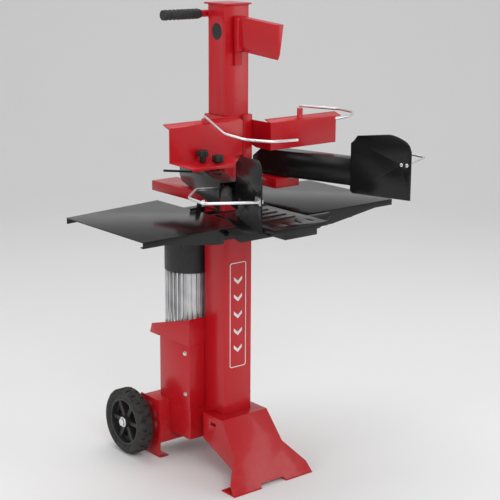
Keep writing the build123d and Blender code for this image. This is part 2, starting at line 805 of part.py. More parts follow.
with BuildPart() as centre_table:
    block((-centre_half, behind(-centre_front), centre_z), (centre_half, behind(-1), wing_sheet_z))
    cross_plate([(-centre_half, centre_z), (-centre_half, centre_z - 12), (-centre_half + 45, table_gusset_z),
                 (centre_half - 45, table_gusset_z), (centre_half, centre_z - 12), (centre_half, centre_z)],
                behind(-centre_front), behind(-centre_front + sheet))
    for side in (left, right):
        block((side * half_column, behind(-centre_front + sheet), table_gusset_z),
              (side * (half_column + plate), behind(latch_y - 10), centre_z))
    block((-half_column - plate, behind(-front_rail), centre_z - rail_height),
          (half_column + plate, behind(-front_rail + rail_depth), centre_z), Mode.SUBTRACT)
save(centre_table, "centre_table")

slot_places = (-72.0, -24.0, 24.0, 72.0)
tread_bars = 4

with BuildPart() as log_platform:
    block((-platform_half, behind(-platform_front), wing_sheet_z),
          (platform_half, behind(-platform_back), table_top_z))
    lip_back = behind(-platform_front + sheet)
    skirt_back = behind(-centre_front - 4)
    for half_width, foot_z in ((platform_half, wing_sheet_z - platform_lip), (platform_beam_half, platform_skirt_z)):
        block((-half_width, behind(-platform_front), foot_z), (half_width, lip_back, wing_sheet_z))
        for side in (left, right):
            block((side * (half_width - sheet), lip_back, foot_z), (side * half_width, skirt_back, wing_sheet_z))
    for slot_x in slot_places:
        block((slot_x - 4, behind(-268), wing_sheet_z), (slot_x + 4, behind(-236), table_top_z), Mode.SUBTRACT)
    for bar in range(tread_bars):
        bar_y = behind(-60 - 42 * bar)
        block((-70, bar_y - 3, table_top_z), (70, bar_y + 3, table_top_z + 2.5))
save(log_platform, "log_platform")

latch_lug_y = behind(latch_y - clearance)

with BuildPart() as table_rails:
    for rail_front, top in ((-front_rail, centre_z), (column_depth, wing_sheet_z)):
        block((-rail_half, behind(rail_front), top - rail_height),
              (rail_half, behind(rail_front + rail_depth), top))
        block((-rail_half, behind(rail_front + plate), top - rail_height),
              (rail_half, behind(rail_front + rail_depth - plate), top - plate), Mode.SUBTRACT)
    round_bar((valve_x, valve_y, centre_z - rail_height), (valve_x, valve_y, wing_sheet_z), tab_hole_radius,
              Mode.SUBTRACT)
    for side in (left, right):
        block((side * half_column, latch_lug_y - 5, latch_z - 12),
              (side * (latch_x + 10), latch_lug_y, latch_z + 10))
        round_bar((side * latch_x, latch_lug_y, latch_z), (side * latch_x, latch_lug_y + latch_thickness + 4, latch_z),
                  4)
        round_bar((side * latch_x, latch_lug_y + latch_thickness + 2 * clearance, latch_z),
                  (side * latch_x, latch_lug_y + latch_thickness + 4, latch_z), 7)
save(table_rails, "table_rails")


def make_table(side):
    """One side table: a folded sheet with a deep front gusset and turned-down edges."""
    outer = side * table_half
    inner = side * table_inner
    with BuildPart() as table:
        with BuildSketch(Plane.XY.offset(wing_sheet_z)):
            with BuildLine():
                Polyline((inner, behind(-table_front)), (outer, behind(-table_front)),
                         (outer, behind(table_rear_outer)), (inner, behind(table_rear_inner)), close=True)
            make_face()
        extrude(amount=sheet)
        cross_plate([(side * (centre_half + 1), wing_sheet_z), (side * (centre_half + 1), table_gusset_z),
                     (side * 225, table_gusset_z), (side * 412, wing_sheet_z - table_edge),
                     (outer, wing_sheet_z - table_edge), (outer, wing_sheet_z)],
                    behind(-table_front), behind(-table_front + sheet))
        block((side * 412, behind(-table_front), wing_sheet_z - table_edge),
              (outer, behind(-table_front + table_return), wing_sheet_z - table_edge + sheet))
        flat_sheet([(outer, behind(table_rear_outer), wing_sheet_z),
                    (inner, behind(table_rear_inner), wing_sheet_z),
                    (inner, behind(table_rear_inner), wing_sheet_z - table_edge),
                    (outer, behind(table_rear_outer), wing_sheet_z - table_edge)], side * sheet)
    return table


for side, name in ((left, "table_left"), (right, "table_right")):
    save(make_table(side), name)


def make_latch(side):
    """A latch that hooks over the side table's inner edge and swings up about its pin."""
    nose_foot = table_top_z + clearance
    with BuildPart() as latch:
        cross_plate([(side * (latch_x - 9), latch_z - 9), (side * (latch_x + 8), latch_z - 9),
                     (side * (latch_x + 8), nose_foot), (side * (table_inner + 14), nose_foot),
                     (side * (table_inner + 14), nose_foot + 7), (side * (latch_x + 6), nose_foot + 9),
                     (side * (latch_x + 2), nose_foot + 30), (side * (latch_x - 8), nose_foot + 30)],
                    latch_lug_y + clearance, latch_lug_y + clearance + latch_thickness)
        round_bar((side * latch_x, latch_lug_y, latch_z), (side * latch_x, latch_lug_y + 20, latch_z),
                  4 + running_fit, Mode.SUBTRACT)
    return latch


for side, name in ((left, "latch_left"), (right, "latch_right")):
    save(make_latch(side), name)


# ---- front foot -----------------------------------------------------------------------------------

def toe_y(height):
    """The Y of the front foot's sloping face at this height."""
    return behind(-foot_toe_front + (foot_toe_front - foot_front) * height / foot_top_z)


toe_half = foot_flare[-1][0]
toe_outline = [(half, height) for half, height in foot_flare]
toe_outline = [(foot_half, foot_top_z)] + toe_outline + [(foot_notch_half + 5, 0.0),
                                                         (foot_notch_half, foot_notch_height)]
mirrored_outline = [(-half, height) for half, height in reversed(toe_outline)]
toe_side_z = 8.0

with BuildPart() as front_foot:
    block((-foot_half, behind(-foot_front), foot_top_z - foot_sheet), (foot_half, behind(foot_rear), foot_top_z))
    flat_sheet([(half, toe_y(height), height) for half, height in toe_outline + mirrored_outline], -foot_sheet)
    for side in (left, right):
        side_plate([(behind(-foot_front), foot_top_z), (behind(foot_rear), foot_top_z),
                    (behind(foot_rear), foot_side_z), (toe_y(toe_side_z) + 14, toe_side_z),
                    (toe_y(toe_side_z), toe_side_z)],
                   side * foot_half, side * (foot_half - foot_sheet))
        block((side * (foot_notch_half + 5), toe_y(0), 0), (side * toe_half, toe_y(0) + foot_pad_depth, foot_sheet))
        block((side * (foot_half + 1), behind(-4), 158), (side * (foot_half - foot_sheet - 1), behind(22), 170),
              Mode.SUBTRACT)
    block((-half_column, behind(0), column_foot_z), (half_column, behind(column_depth), foot_top_z), Mode.SUBTRACT)
    block((-toe_half, toe_y(0) - 20, -20), (toe_half, behind(foot_rear), 0), Mode.SUBTRACT)
save(front_foot, "front_foot")


# ---- rear base and wheels -------------------------------------------------------------------------

filler_at = (78.0, behind(158))
filler_radius = 11.0
filler_neck = 8.0

with BuildPart() as base_box:
    block((-base_half, behind(column_depth), base_foot_z), (base_half, behind(cross_front), base_top_z))
    block((-base_half + plate, behind(column_depth + plate), base_foot_z),
          (base_half - plate, behind(cross_front), base_top_z - plate), Mode.SUBTRACT)
    fillet(base_box.edges().filter_by(Axis.Z).group_by(Axis.Y)[0], radius=3)
    filler_base = (filler_at[0], filler_at[1], base_top_z - plate)
    filler_top = (filler_at[0], filler_at[1], base_top_z + filler_neck)
    round_bar(filler_base, filler_top, filler_radius)
    round_bar(filler_base, filler_top, filler_radius - 2, Mode.SUBTRACT)
save(base_box, "base_box")

with BuildPart() as rear_crossmember:
    block((-cross_half, behind(cross_front), cross_foot_z), (cross_half, behind(cross_rear), cross_top_z))
    block((-cross_half, behind(cross_front + plate), cross_foot_z),
          (cross_half, behind(cross_rear - plate), cross_top_z - plate), Mode.SUBTRACT)
save(rear_crossmember, "rear_crossmember")

with BuildPart() as rear_feet:
    for side in (left, right):
        outer = side * (cross_half + plate)
        side_plate([(behind(cross_front), 0), (behind(rear_pad_rear), 0), (behind(rear_pad_rear), 40),
                    (behind(rear_plate_rear), 84), (behind(rear_plate_rear), cross_top_z - 40),
                    (behind(rear_plate_rear - 24), cross_top_z), (behind(cross_front), cross_top_z)],
                   side * cross_half, outer)
        block((side * cross_half, behind(cross_front), 0),
              (outer - side * rear_pad_width, behind(rear_pad_rear), plate))
        round_bar((side * cross_half, behind(axle_y), axle_z), (outer, behind(axle_y), axle_z),
                  axle_radius + 0.2, Mode.SUBTRACT)
save(rear_feet, "rear_feet")

wheel_outer_x = wheel_inner_x + wheel_width
axle_tip = wheel_outer_x + 8

with BuildPart() as axle:
    round_bar((-axle_tip, behind(axle_y), axle_z), (axle_tip, behind(axle_y), axle_z), axle_radius)
    for side in (left, right):
        round_bar((side * (cross_half + plate), behind(axle_y), axle_z),
                  (side * (wheel_inner_x - clearance), behind(axle_y), axle_z), axle_radius + 5)
        round_bar((side * (wheel_outer_x + clearance), behind(axle_y), axle_z),
                  (side * (axle_tip - 1), behind(axle_y), axle_z), axle_radius + 4.5)
save(axle, "axle")


def make_rim(side):
    """A spoked plastic rim: hub, spokes and outer ring."""
    middle = side * (wheel_inner_x + wheel_width / 2)
    hub_plane = Plane(origin=(middle, behind(axle_y), axle_z), x_dir=(0, 1, 0), z_dir=(1, 0, 0))
    ring_half = wheel_width / 2 - 4
    spoke_half = wheel_width / 2 - 12
    with BuildPart() as rim:
        with BuildSketch(hub_plane.offset(-ring_half)):
            Circle(tyre_inner_radius - clearance)
            Circle(tyre_inner_radius - 10, mode=Mode.SUBTRACT)
        extrude(amount=2 * ring_half)
        with BuildSketch(hub_plane.offset(-spoke_half)):
            with PolarLocations(0, spoke_count):
                with Locations((tyre_inner_radius / 2, 0)):
                    Rectangle(tyre_inner_radius - 12, 13)
            Circle(hub_radius - 2)
        extrude(amount=2 * spoke_half)
        with BuildSketch(hub_plane.offset(-3)):
            Circle(tyre_inner_radius - 5)
            Circle(tyre_inner_radius - 20, mode=Mode.SUBTRACT)
        extrude(amount=6)
        with BuildSketch(hub_plane.offset(-wheel_width / 2)):
            Circle(hub_radius)
        extrude(amount=wheel_width)
        with BuildSketch(hub_plane.offset(-wheel_width / 2)):
            Circle(axle_radius + running_fit)
        extrude(amount=wheel_width, mode=Mode.SUBTRACT)
    return rim


def make_tyre(side):
    """A solid tyre with staggered blocks cut in both shoulders of its tread."""
    middle = side * (wheel_inner_x + wheel_width / 2)
    axis = Axis((middle, behind(axle_y), axle_z), (1, 0, 0))
    half = wheel_width / 2
    groove_depth = 5.0
    with BuildPart() as tyre:
        with BuildSketch(Plane(origin=axis.position, x_dir=(1, 0, 0), z_dir=(0, -1, 0))):
            with BuildLine():
                Polyline((-half + 4, tyre_inner_radius), (-half, tyre_inner_radius + 7),
                         (-half, wheel_radius - 8), (-half + 8, wheel_radius), (half - 8, wheel_radius),
                         (half, wheel_radius - 8), (half, tyre_inner_radius + 7),
                         (half - 4, tyre_inner_radius), close=True)
            make_face()
        revolve(axis=axis)
        wheel_plane = Plane(origin=axis.position, x_dir=(0, 1, 0), z_dir=(1, 0, 0))
        for shoulder, turn in ((left, 0), (right, 180 / lug_count)):
            with BuildSketch(wheel_plane.offset(shoulder * half)):
                with PolarLocations(wheel_radius - groove_depth / 2 + 1, lug_count, start_angle=turn):
                    Rectangle(groove_depth + 2, 9)
            extrude(amount=-shoulder * (half - 6), mode=Mode.SUBTRACT)
    return tyre


for side, tail in ((left, "left"), (right, "right")):
    save(make_rim(side), f"wheel_{tail}")
    save(make_tyre(side), f"tyre_{tail}")


# ---- motor, pump and housing ----------------------------------------------------------------------

motor_at = (motor_x, behind(motor_y))

with BuildPart() as motor_bracket:
    for bracket_x, thickness in ((cover_left - sheet, sheet), (cover_right, sheet)):
        side_plate([(behind(column_depth), cover_top_z), (behind(column_depth), bracket_front_z),
                    (behind(bracket_rear), bracket_rear_z), (behind(bracket_tab_rear), cover_top_z - 2),
                    (behind(cover_rear), cover_top_z - 2), (behind(cover_rear), cover_top_z)],
                   bracket_x, bracket_x + thickness)
    block((cover_left, behind(column_depth), cover_top_z), (cover_right, behind(column_depth + sheet), bracket_front_z))
    block((cover_left, behind(column_depth + sheet), motor_foot_z - 18),
          (cover_right, behind(bracket_rear - 20), motor_foot_z - 12))
    with BuildSketch(Plane.XY.offset(motor_foot_z - 18)):
        with Locations(motor_at):
            Circle(40)
    extrude(amount=6, mode=Mode.SUBTRACT)
save(motor_bracket, "motor_bracket")

with BuildPart() as pump_cover:
    block((cover_left, behind(column_depth + 1), cover_foot_z), (cover_right, behind(cover_rear), cover_top_z))
    block((cover_left + sheet, behind(column_depth + 1 + sheet), cover_foot_z + sheet),
          (cover_right - sheet, behind(cover_rear - sheet), cover_top_z), Mode.SUBTRACT)
    block((cover_left, behind(cross_front), cover_foot_z), (cover_right, behind(cover_rear), cross_top_z),
          Mode.SUBTRACT)
save(pump_cover, "pump_cover")

screw_y = 124.0
cover_screw_heights = (239.0, 377.0)
column_bolt_heights = (217.0, 243.0)

with BuildPart() as hex_bolts:
    for screw_z in cover_screw_heights:
        for face_x, outwards in ((cover_left, left), (cover_right, right)):
            round_bar((face_x, behind(screw_y), screw_z), (face_x + outwards * 1.5, behind(screw_y), screw_z), 7.5)
            hex_head((face_x + outwards * 1.5, behind(screw_y), screw_z), (outwards, 0, 0), 4.5, 6)
    for bolt_z in column_bolt_heights:
        hex_head((half_column, behind(14), bolt_z), (1, 0, 0), 7, 7)
save(hex_bolts, "hex_bolts")

with BuildPart() as pump_block:
    with BuildSketch(Plane.XY.offset(cover_foot_z + 60)):
        with Locations(motor_at):
            RectangleRounded(84, 84, 8)
    extrude(amount=motor_foot_z - 18 - cover_foot_z - 60)
    with BuildSketch(Plane.XY.offset(cover_top_z - 20)):
        with Locations(motor_at):
            Circle(shaft_radius + 1)
    extrude(amount=60, mode=Mode.SUBTRACT)
    block((cover_right, behind(column_depth + 2), valve_body_foot_z), (valve_x + 26, valve_y + 24, valve_body_top_z))
    round_bar((valve_x, valve_y, valve_rod_foot_z - 20), (valve_x, valve_y, valve_body_top_z),
              valve_rod_radius + running_fit, Mode.SUBTRACT)
save(pump_block, "pump_block")

with BuildPart() as motor_body:
    with BuildSketch(Plane.XY.offset(motor_foot_z)):
        with Locations(motor_at):
            Circle(motor_core_radius)
            with PolarLocations(0, fin_count):
                with Locations(((motor_core_radius + motor_radius) / 2 - 2, 0)):
                    Rectangle(motor_radius - motor_core_radius + 4, fin_thickness)
    extrude(amount=cowl_foot_z - motor_foot_z)
    with BuildSketch(Plane.XY.offset(motor_foot_z - 12)):
        with Locations(motor_at):
            Circle(motor_radius - 3)
    extrude(amount=18)
    block((motor_x + motor_core_radius - 8, behind(motor_y - 32), 488), (switch_x, behind(motor_y + 32), 572))
    for side_x in (cover_left - 10, cover_right):
        block((side_x, behind(column_depth), motor_foot_z - 12),
              (side_x + 10, behind(bracket_rear), bracket_front_z + 2), Mode.SUBTRACT)
    with BuildSketch(Plane.XY.offset(motor_foot_z + 10)):
        with Locations(motor_at):
            Circle(rotor_radius + 2)
    extrude(amount=cowl_foot_z - motor_foot_z - 10, mode=Mode.SUBTRACT)
    with BuildSketch(Plane.XY.offset(motor_foot_z - 12)):
        with Locations(motor_at):
            Circle(shaft_radius + 1)
    extrude(amount=30, mode=Mode.SUBTRACT)
save(motor_body, "motor_body")

vent_count = 10

with BuildPart() as motor_cowl:
    with BuildSketch(Plane.XY.offset(cowl_foot_z)):
        with Locations(motor_at):
            Circle(motor_radius + 1)
    extrude(amount=cowl_top_z - cowl_foot_z)
    fillet(motor_cowl.edges().group_by(Axis.Z)[-1], radius=8)
    with BuildSketch(Plane.XY.offset(cowl_foot_z)):
        with Locations(motor_at):
            Circle(motor_radius - 3)
    extrude(amount=cowl_top_z - cowl_foot_z - 4, mode=Mode.SUBTRACT)
    with BuildSketch(Plane.XY.offset(cowl_top_z - 5)):
        with Locations(motor_at):
            with PolarLocations(38, vent_count):
                SlotOverall(36, 7)
    extrude(amount=6, mode=Mode.SUBTRACT)
save(motor_cowl, "motor_cowl")

fan_z = cowl_foot_z + 58
blade_count = 7

with BuildPart() as motor_rotor:
    with BuildSketch(Plane.XY.offset(motor_foot_z + 30)):
        with Locations(motor_at):
            Circle(rotor_radius)
    extrude(amount=cowl_foot_z - motor_foot_z - 60)
    with BuildSketch(Plane.XY.offset(cover_top_z - 10)):
        with Locations(motor_at):
            Circle(shaft_radius)
    extrude(amount=fan_z + 30 - cover_top_z + 10)
    with BuildSketch(Plane.XY.offset(fan_z)):
        with Locations(motor_at):
            Circle(22)
            with PolarLocations(0, blade_count):
                with Locations((40, 0)):
                    Rectangle(48, 3)
    extrude(amount=26)
    with BuildSketch(Plane.XY.offset(fan_z - 3)):
        with Locations(motor_at):
            Circle(64)
    extrude(amount=3)
save(motor_rotor, "motor_rotor")


# ---- switch box and oil filler --------------------------------------------------------------------

switch_mid = behind(motor_y)
switch_half = 40.0
switch_face = switch_x + switch_depth
button_places = (("start_button", 558.0), ("stop_button", 518.0))
button_travel = 4.0

with BuildPart() as switch_box:
    block((switch_x, switch_mid - switch_half, switch_foot_z), (switch_face, switch_mid + switch_half, switch_top_z))
    fillet(switch_box.edges().filter_by(Axis.X), radius=8)
    round_bar((switch_x + switch_depth / 2, switch_mid, switch_foot_z),
              (switch_x + switch_depth / 2, switch_mid, switch_foot_z - 26), 17)
    round_bar((switch_x + switch_depth / 2, switch_mid, switch_foot_z - 26),
              (switch_x + switch_depth / 2, switch_mid, switch_foot_z - 6), 13, Mode.SUBTRACT)
    for name, button_z in button_places:
        round_bar((switch_face - 12, switch_mid, button_z), (switch_face, switch_mid, button_z),
                  button_radius + clearance, Mode.SUBTRACT)
save(switch_box, "switch_box")

for name, button_z in button_places:
    with BuildPart() as button:
        round_bar((switch_face - 12 + button_travel + 1, switch_mid, button_z),
                  (switch_face + 5, switch_mid, button_z), button_radius)
    save(button, name)


with BuildPart() as filler_cap:
    with BuildSketch(Plane.XY.offset(base_top_z + filler_neck + clearance)):
        with Locations(filler_at):
            RegularPolygon(radius=16, side_count=8)
    extrude(amount=14)
    with BuildSketch(Plane.XY.offset(base_top_z - 30)):
        with Locations(filler_at):
            Circle(filler_radius - 2 - running_fit)
    extrude(amount=30 + filler_neck + clearance)
save(filler_cap, "filler_cap")
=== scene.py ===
"""The looks of a vertical electric log splitter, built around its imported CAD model.

Every CAD node is given rounded edges and a painted, plated or moulded finish, and small pieces that the
CAD leaves out, such as weld beads, washers and hub caps, are added on the bodies that carry them.
"""
import bmesh
import bpy
import json
from math import cos, pi, radians, sin
from mathutils import Matrix, Vector


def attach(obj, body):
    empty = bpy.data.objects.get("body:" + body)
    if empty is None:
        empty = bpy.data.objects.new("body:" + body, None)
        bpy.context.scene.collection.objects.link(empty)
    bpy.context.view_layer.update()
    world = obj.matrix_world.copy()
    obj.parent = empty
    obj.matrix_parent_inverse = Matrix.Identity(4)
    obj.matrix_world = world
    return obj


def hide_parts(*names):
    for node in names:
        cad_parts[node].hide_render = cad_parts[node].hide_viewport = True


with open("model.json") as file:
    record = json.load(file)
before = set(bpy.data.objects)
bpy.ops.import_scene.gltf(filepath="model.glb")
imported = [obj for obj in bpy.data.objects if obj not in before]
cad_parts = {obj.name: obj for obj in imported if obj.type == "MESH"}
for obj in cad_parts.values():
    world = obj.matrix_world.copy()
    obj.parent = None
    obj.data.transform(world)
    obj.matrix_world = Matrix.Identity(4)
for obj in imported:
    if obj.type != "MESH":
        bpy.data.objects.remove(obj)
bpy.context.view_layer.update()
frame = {"nodes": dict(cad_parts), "record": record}

MM = 0.001

# the left arm's swing pin and rest direction, which the bounds of its nodes don't give
ARM_PIN_X = 0.1575
ARM_PIN_Y = 0.043
ARM_FLARE_LEFT = radians(19.0)
SWING_HEAD = 8 * MM      # height of the swing bolts' heads
SWING_WASHER = 1.5 * MM  # gap under them
ROD_HEIGHT = 1.000
ROD_ROOT = (53 * MM, 23 * MM)  # along and across the arm, from the swing pin
ROD_TIP = (12 * MM, 98 * MM)
ROD_RADIUS = 3.6

bodies = frame["record"]["behaviour"]["bodies"]
body_of_node = {node: body for body, nodes in bodies.items() for node in nodes}
slot_of_node = {part["node"]: part["material_slot"] for part in frame["record"]["subparts"]}


# ---- materials ------------------------------------------------------------------------------------

DUST = (0.33, 0.24, 0.19)
DUST_TOP = 0.25  # metres above the floor
DUST_SHARE = 0.1


class Shader:
    """A principled material under construction, with short helpers for its node tree."""

    def __init__(self, name, roughness, metallic=0.0, coat=0.0, coat_roughness=0.1, specular=0.5):
        self.material = bpy.data.materials.new(name)
        self.material.use_nodes = True
        self.tree = self.material.node_tree
        self.shader = self.tree.nodes["Principled BSDF"]
        self.shader.inputs["Roughness"].default_value = roughness
        self.shader.inputs["Metallic"].default_value = metallic
        self.shader.inputs["Coat Weight"].default_value = coat
        self.shader.inputs["Coat Roughness"].default_value = coat_roughness
        self.shader.inputs["Specular IOR Level"].default_value = specular
        self.place = self.tree.nodes.new("ShaderNodeTexCoord").outputs["Object"]

    def link(self, source, target):
        self.tree.links.new(source, target)

    def stretched(self, scale):
        """Object coordinates stretched along the axes, for grain that runs one way."""
        mapping = self.tree.nodes.new("ShaderNodeMapping")
        mapping.inputs["Scale"].default_value = scale
        self.link(self.place, mapping.inputs["Vector"])
        return mapping.outputs["Vector"]

    def noise(self, scale, detail=4.0, roughness=0.55, place=None):
        node = self.tree.nodes.new("ShaderNodeTexNoise")
        node.inputs["Scale"].default_value = scale
        node.inputs["Detail"].default_value = detail
        node.inputs["Roughness"].default_value = roughness
        self.link(place or self.place, node.inputs["Vector"])
        return node.outputs["Fac"]

    def cells(self, scale, feature="F1"):
        node = self.tree.nodes.new("ShaderNodeTexVoronoi")
        node.feature = feature
        node.inputs["Scale"].default_value = scale
        self.link(self.place, node.inputs["Vector"])
        return node.outputs["Distance"]

    def remap(self, value, low, high, to_low=0.0, to_high=1.0):
        node = self.tree.nodes.new("ShaderNodeMapRange")
        node.inputs["From Min"].default_value = low
        node.inputs["From Max"].default_value = high
        node.inputs["To Min"].default_value = to_low
        node.inputs["To Max"].default_value = to_high
        self.link(value, node.inputs["Value"])
        return node.outputs["Result"]

    def product(self, first, second):
        node = self.tree.nodes.new("ShaderNodeMath")
        node.operation = "MULTIPLY"
        self.link(first, node.inputs[0])
        self.link(second, node.inputs[1])
        return node.outputs["Value"]

    def height(self):
        """Height above the floor, in metres."""
        node = self.tree.nodes.new("ShaderNodeSeparateXYZ")
        self.link(self.place, node.inputs["Vector"])
        return node.outputs["Z"]

    def blend(self, factor, first, second):
        """A colour between two, each a tuple or the output of another blend."""
        node = self.tree.nodes.new("ShaderNodeMix")
        node.data_type = "RGBA"
        self.link(factor, node.inputs["Factor"])
        for colour, target in ((first, node.inputs["A"]), (second, node.inputs["B"])):
            if isinstance(colour, tuple):
                target.default_value = (*colour, 1.0)
            else:
                self.link(colour, target)
        return node.outputs["Result"]

    def colour(self, source):
        self.link(source, self.shader.inputs["Base Color"])

    def roughness(self, source):
        self.link(source, self.shader.inputs["Roughness"])

    def bump(self, height, distance, strength=1.0):
        """Adds a bump, on top of any that the shader already has."""
        node = self.tree.nodes.new("ShaderNodeBump")
        node.inputs["Distance"].default_value = distance
        node.inputs["Strength"].default_value = strength
        self.link(height, node.inputs["Height"])
        normal = self.shader.inputs["Normal"]
        if normal.is_linked:
            self.link(normal.links[0].from_socket, node.inputs["Normal"])
        self.link(node.outputs["Normal"], normal)


def gloss_paint(name, base, deep, gloss, coat, specular):
    """Sprayed gloss enamel: a faint orange peel, uneven depth and a little dust low down."""
    paint = Shader(name, gloss, coat=coat, coat_roughness=0.08, specular=specular)
    tone = paint.blend(paint.remap(paint.noise(3.5), 0.3, 0.7), base, deep)
    low_down = paint.remap(paint.height(), DUST_TOP, 0.0)
    dusty = paint.product(low_down, paint.remap(paint.noise(35.0), 0.45, 0.75))
    tone = paint.blend(paint.remap(dusty, 0.0, 1.0, 0.0, DUST_SHARE), tone, DUST)
    paint.colour(tone)
    paint.roughness(paint.remap(paint.noise(14.0, 6.0), 0.25, 0.75, gloss * 0.9, gloss * 1.15))
    paint.bump(paint.noise(420.0, 2.0), 0.00006, 0.5)
    paint.bump(paint.noise(9.0, 1.0), 0.00012, 0.25)
    return paint.material


def plated_steel(name, bright, dull, grain):
    """Zinc-plated steel: soft crystalline patches under fine drawn lines."""
    metal = Shader(name, 0.3, metallic=1.0)
    patches = metal.remap(metal.cells(160.0), 0.1, 0.7)
    metal.colour(metal.blend(metal.product(patches, metal.noise(60.0)), bright, dull))
    metal.roughness(metal.remap(metal.noise(220.0, 3.0), 0.3, 0.7, 0.22, 0.42))
    metal.bump(metal.noise(1.0, 3.0, place=metal.stretched(grain)), 0.00005, 0.5)
    return metal.material


def cast_metal(name, light, dark, metallic, rough):
    """A sand-cast surface: pitted, matt and a little stained."""
    metal = Shader(name, rough, metallic=metallic)
    metal.colour(metal.blend(metal.remap(metal.noise(24.0, 5.0), 0.35, 0.7), light, dark))
    metal.roughness(metal.remap(metal.noise(80.0), 0.3, 0.7, rough * 0.8, min(1.0, rough * 1.3)))
    metal.bump(metal.noise(700.0, 3.0), 0.00025, 0.5)
    return metal.material


def moulded_plastic(name, base, rough, grain=900.0):
    """Injection-moulded plastic with a spark-eroded grain."""
    plastic = Shader(name, rough, specular=0.4)
    darker = tuple(0.75 * part for part in base)
    plastic.colour(plastic.blend(plastic.remap(plastic.noise(18.0), 0.35, 0.7), base, darker))
    plastic.roughness(plastic.remap(plastic.noise(50.0), 0.3, 0.7, rough * 0.85, min(1.0, rough * 1.2)))
    plastic.bump(plastic.cells(grain), 0.00012, 0.5)
    return plastic.material


def tyre_rubber(name):
    """Black rubber with dusty hollows and a dry, slightly crazed skin."""
    rubber = Shader(name, 0.8, specular=0.3)
    tone = rubber.blend(rubber.remap(rubber.noise(40.0, 6.0), 0.35, 0.75), (0.022, 0.022, 0.022),
                        (0.05, 0.048, 0.045))
    dust = rubber.remap(rubber.noise(150.0, 4.0), 0.55, 0.75, 0.0, 0.35)
    rubber.colour(rubber.blend(dust, tone, (0.12, 0.11, 0.10)))
    rubber.roughness(rubber.remap(rubber.noise(60.0), 0.3, 0.7, 0.65, 0.92))
    rubber.bump(rubber.noise(600.0, 4.0), 0.0002, 0.6)
    return rubber.material


WIRE_GRAIN = (60.0, 60.0, 900.0)
RED_BASE = (0.53, 0.005, 0.012)
RED_DEEP = (0.48, 0.004, 0.010)
BLACK_BASE = (0.007, 0.007, 0.0075)
BLACK_DEEP = (0.010, 0.010, 0.010)

materials = {
    "red": gloss_paint("red_enamel", RED_BASE, RED_DEEP, 0.3, 0.2, 0.35),
    "black": gloss_paint("black_enamel", BLACK_BASE, BLACK_DEEP, 0.2, 0.0, 0.3),
    "steel": plated_steel("ground_steel", (0.62, 0.61, 0.6), (0.5, 0.49, 0.48), WIRE_GRAIN),
    "zinc": plated_steel("zinc_plate", (0.86, 0.86, 0.87), (0.7, 0.71, 0.74), WIRE_GRAIN),
    "alu": cast_metal("cast_aluminium", (0.78, 0.78, 0.79), (0.62, 0.62, 0.63), 1.0, 0.38),
    "iron": cast_metal("cast_iron", (0.1, 0.1, 0.1), (0.05, 0.05, 0.05), 0.7, 0.6),
    "plastic": moulded_plastic("black_plastic", (0.02, 0.02, 0.021), 0.45),
    "grip": moulded_plastic("grip_rubber", (0.03, 0.03, 0.032), 0.62, 500.0),
    "white": moulded_plastic("white_print", (0.86, 0.86, 0.85), 0.35, 1200.0),
    "nylon": moulded_plastic("white_nylon", (0.8, 0.79, 0.74), 0.5, 700.0),
    "green": moulded_plastic("green_plastic", (0.03, 0.33, 0.08), 0.35),
    "stop_red": moulded_plastic("stop_plastic", (0.6, 0.02, 0.02), 0.35),
    "tyre": tyre_rubber("tyre_rubber"),
}


# ---- rounded CAD pieces ---------------------------------------------------------------------------

SMOOTH_ANGLE = radians(32)
WELD_SMOOTH_ANGLE = radians(70)
ROUNDED_ANGLE = radians(40)    # edges sharper than this are rounded over
COPLANAR_ANGLE = radians(0.5)  # faces flatter than this are joined first
MERGE_DISTANCE = 0.01 * MM
ROUND_SEGMENTS = 2
USUAL_RADIUS = 0.8             # millimetres, as in the table below
EDGE_RADIUS = {
    "tyre_left": 1.4, "tyre_right": 1.4, "wheel_left": 1.2, "wheel_right": 1.2, "motor_body": 0.8,
    "label_frame": 0.15, "log_wire_left": 0.5, "log_wire_right": 0.5, "front_foot": 1.2, "column": 3.0,
    "ram_column": 3.0, "switch_box": 1.2, "star_knob_outer": 1.0, "star_knob_inner": 1.0,
}


def show(mesh, name, body, slot, smooth=SMOOTH_ANGLE):
    """Puts a finished mesh in the scene, on its body and with its slot's material."""
    piece = bpy.data.objects.new(name, mesh)
    bpy.context.scene.collection.objects.link(piece)
    mesh.materials.clear()
    mesh.materials.append(materials[slot])
    mesh.polygons.foreach_set("use_smooth", [True] * len(mesh.polygons))
    mesh.polygons.foreach_set("material_index", [0] * len(mesh.polygons))
    mesh.set_sharp_from_angle(angle=smooth)
    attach(piece, body)
    return piece


def mesh_from(work, name):
    mesh = bpy.data.meshes.new(name)
    work.to_mesh(mesh)
    work.free()
    return mesh


def rounded(node):
    """A copy of a CAD node whose sharp edges are rounded over, standing for the node."""
    work = bmesh.new()
    work.from_mesh(frame["nodes"][node].data)
    bmesh.ops.remove_doubles(work, verts=work.verts, dist=MERGE_DISTANCE)
    bmesh.ops.dissolve_limit(work, angle_limit=COPLANAR_ANGLE, verts=work.verts, edges=work.edges,
                             delimit=set())
    sharp = [edge for edge in work.edges
             if len(edge.link_faces) == 2 and edge.calc_face_angle(0.0) > ROUNDED_ANGLE]
    radius = EDGE_RADIUS.get(node, USUAL_RADIUS) * MM
    bmesh.ops.bevel(work, geom=sharp, offset=radius, offset_type="OFFSET", segments=ROUND_SEGMENTS,
                    profile=0.5, affect="EDGES", clamp_overlap=True)
    bmesh.ops.triangulate(work, faces=work.faces)
    name = node + "_rounded"
    piece = show(mesh_from(work, name), name, body_of_node[node], slot_of_node[node])
    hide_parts(node)
    return piece


for node in frame["nodes"]:
    rounded(node)


# ---- small pieces that the CAD leaves out ---------------------------------------------------------

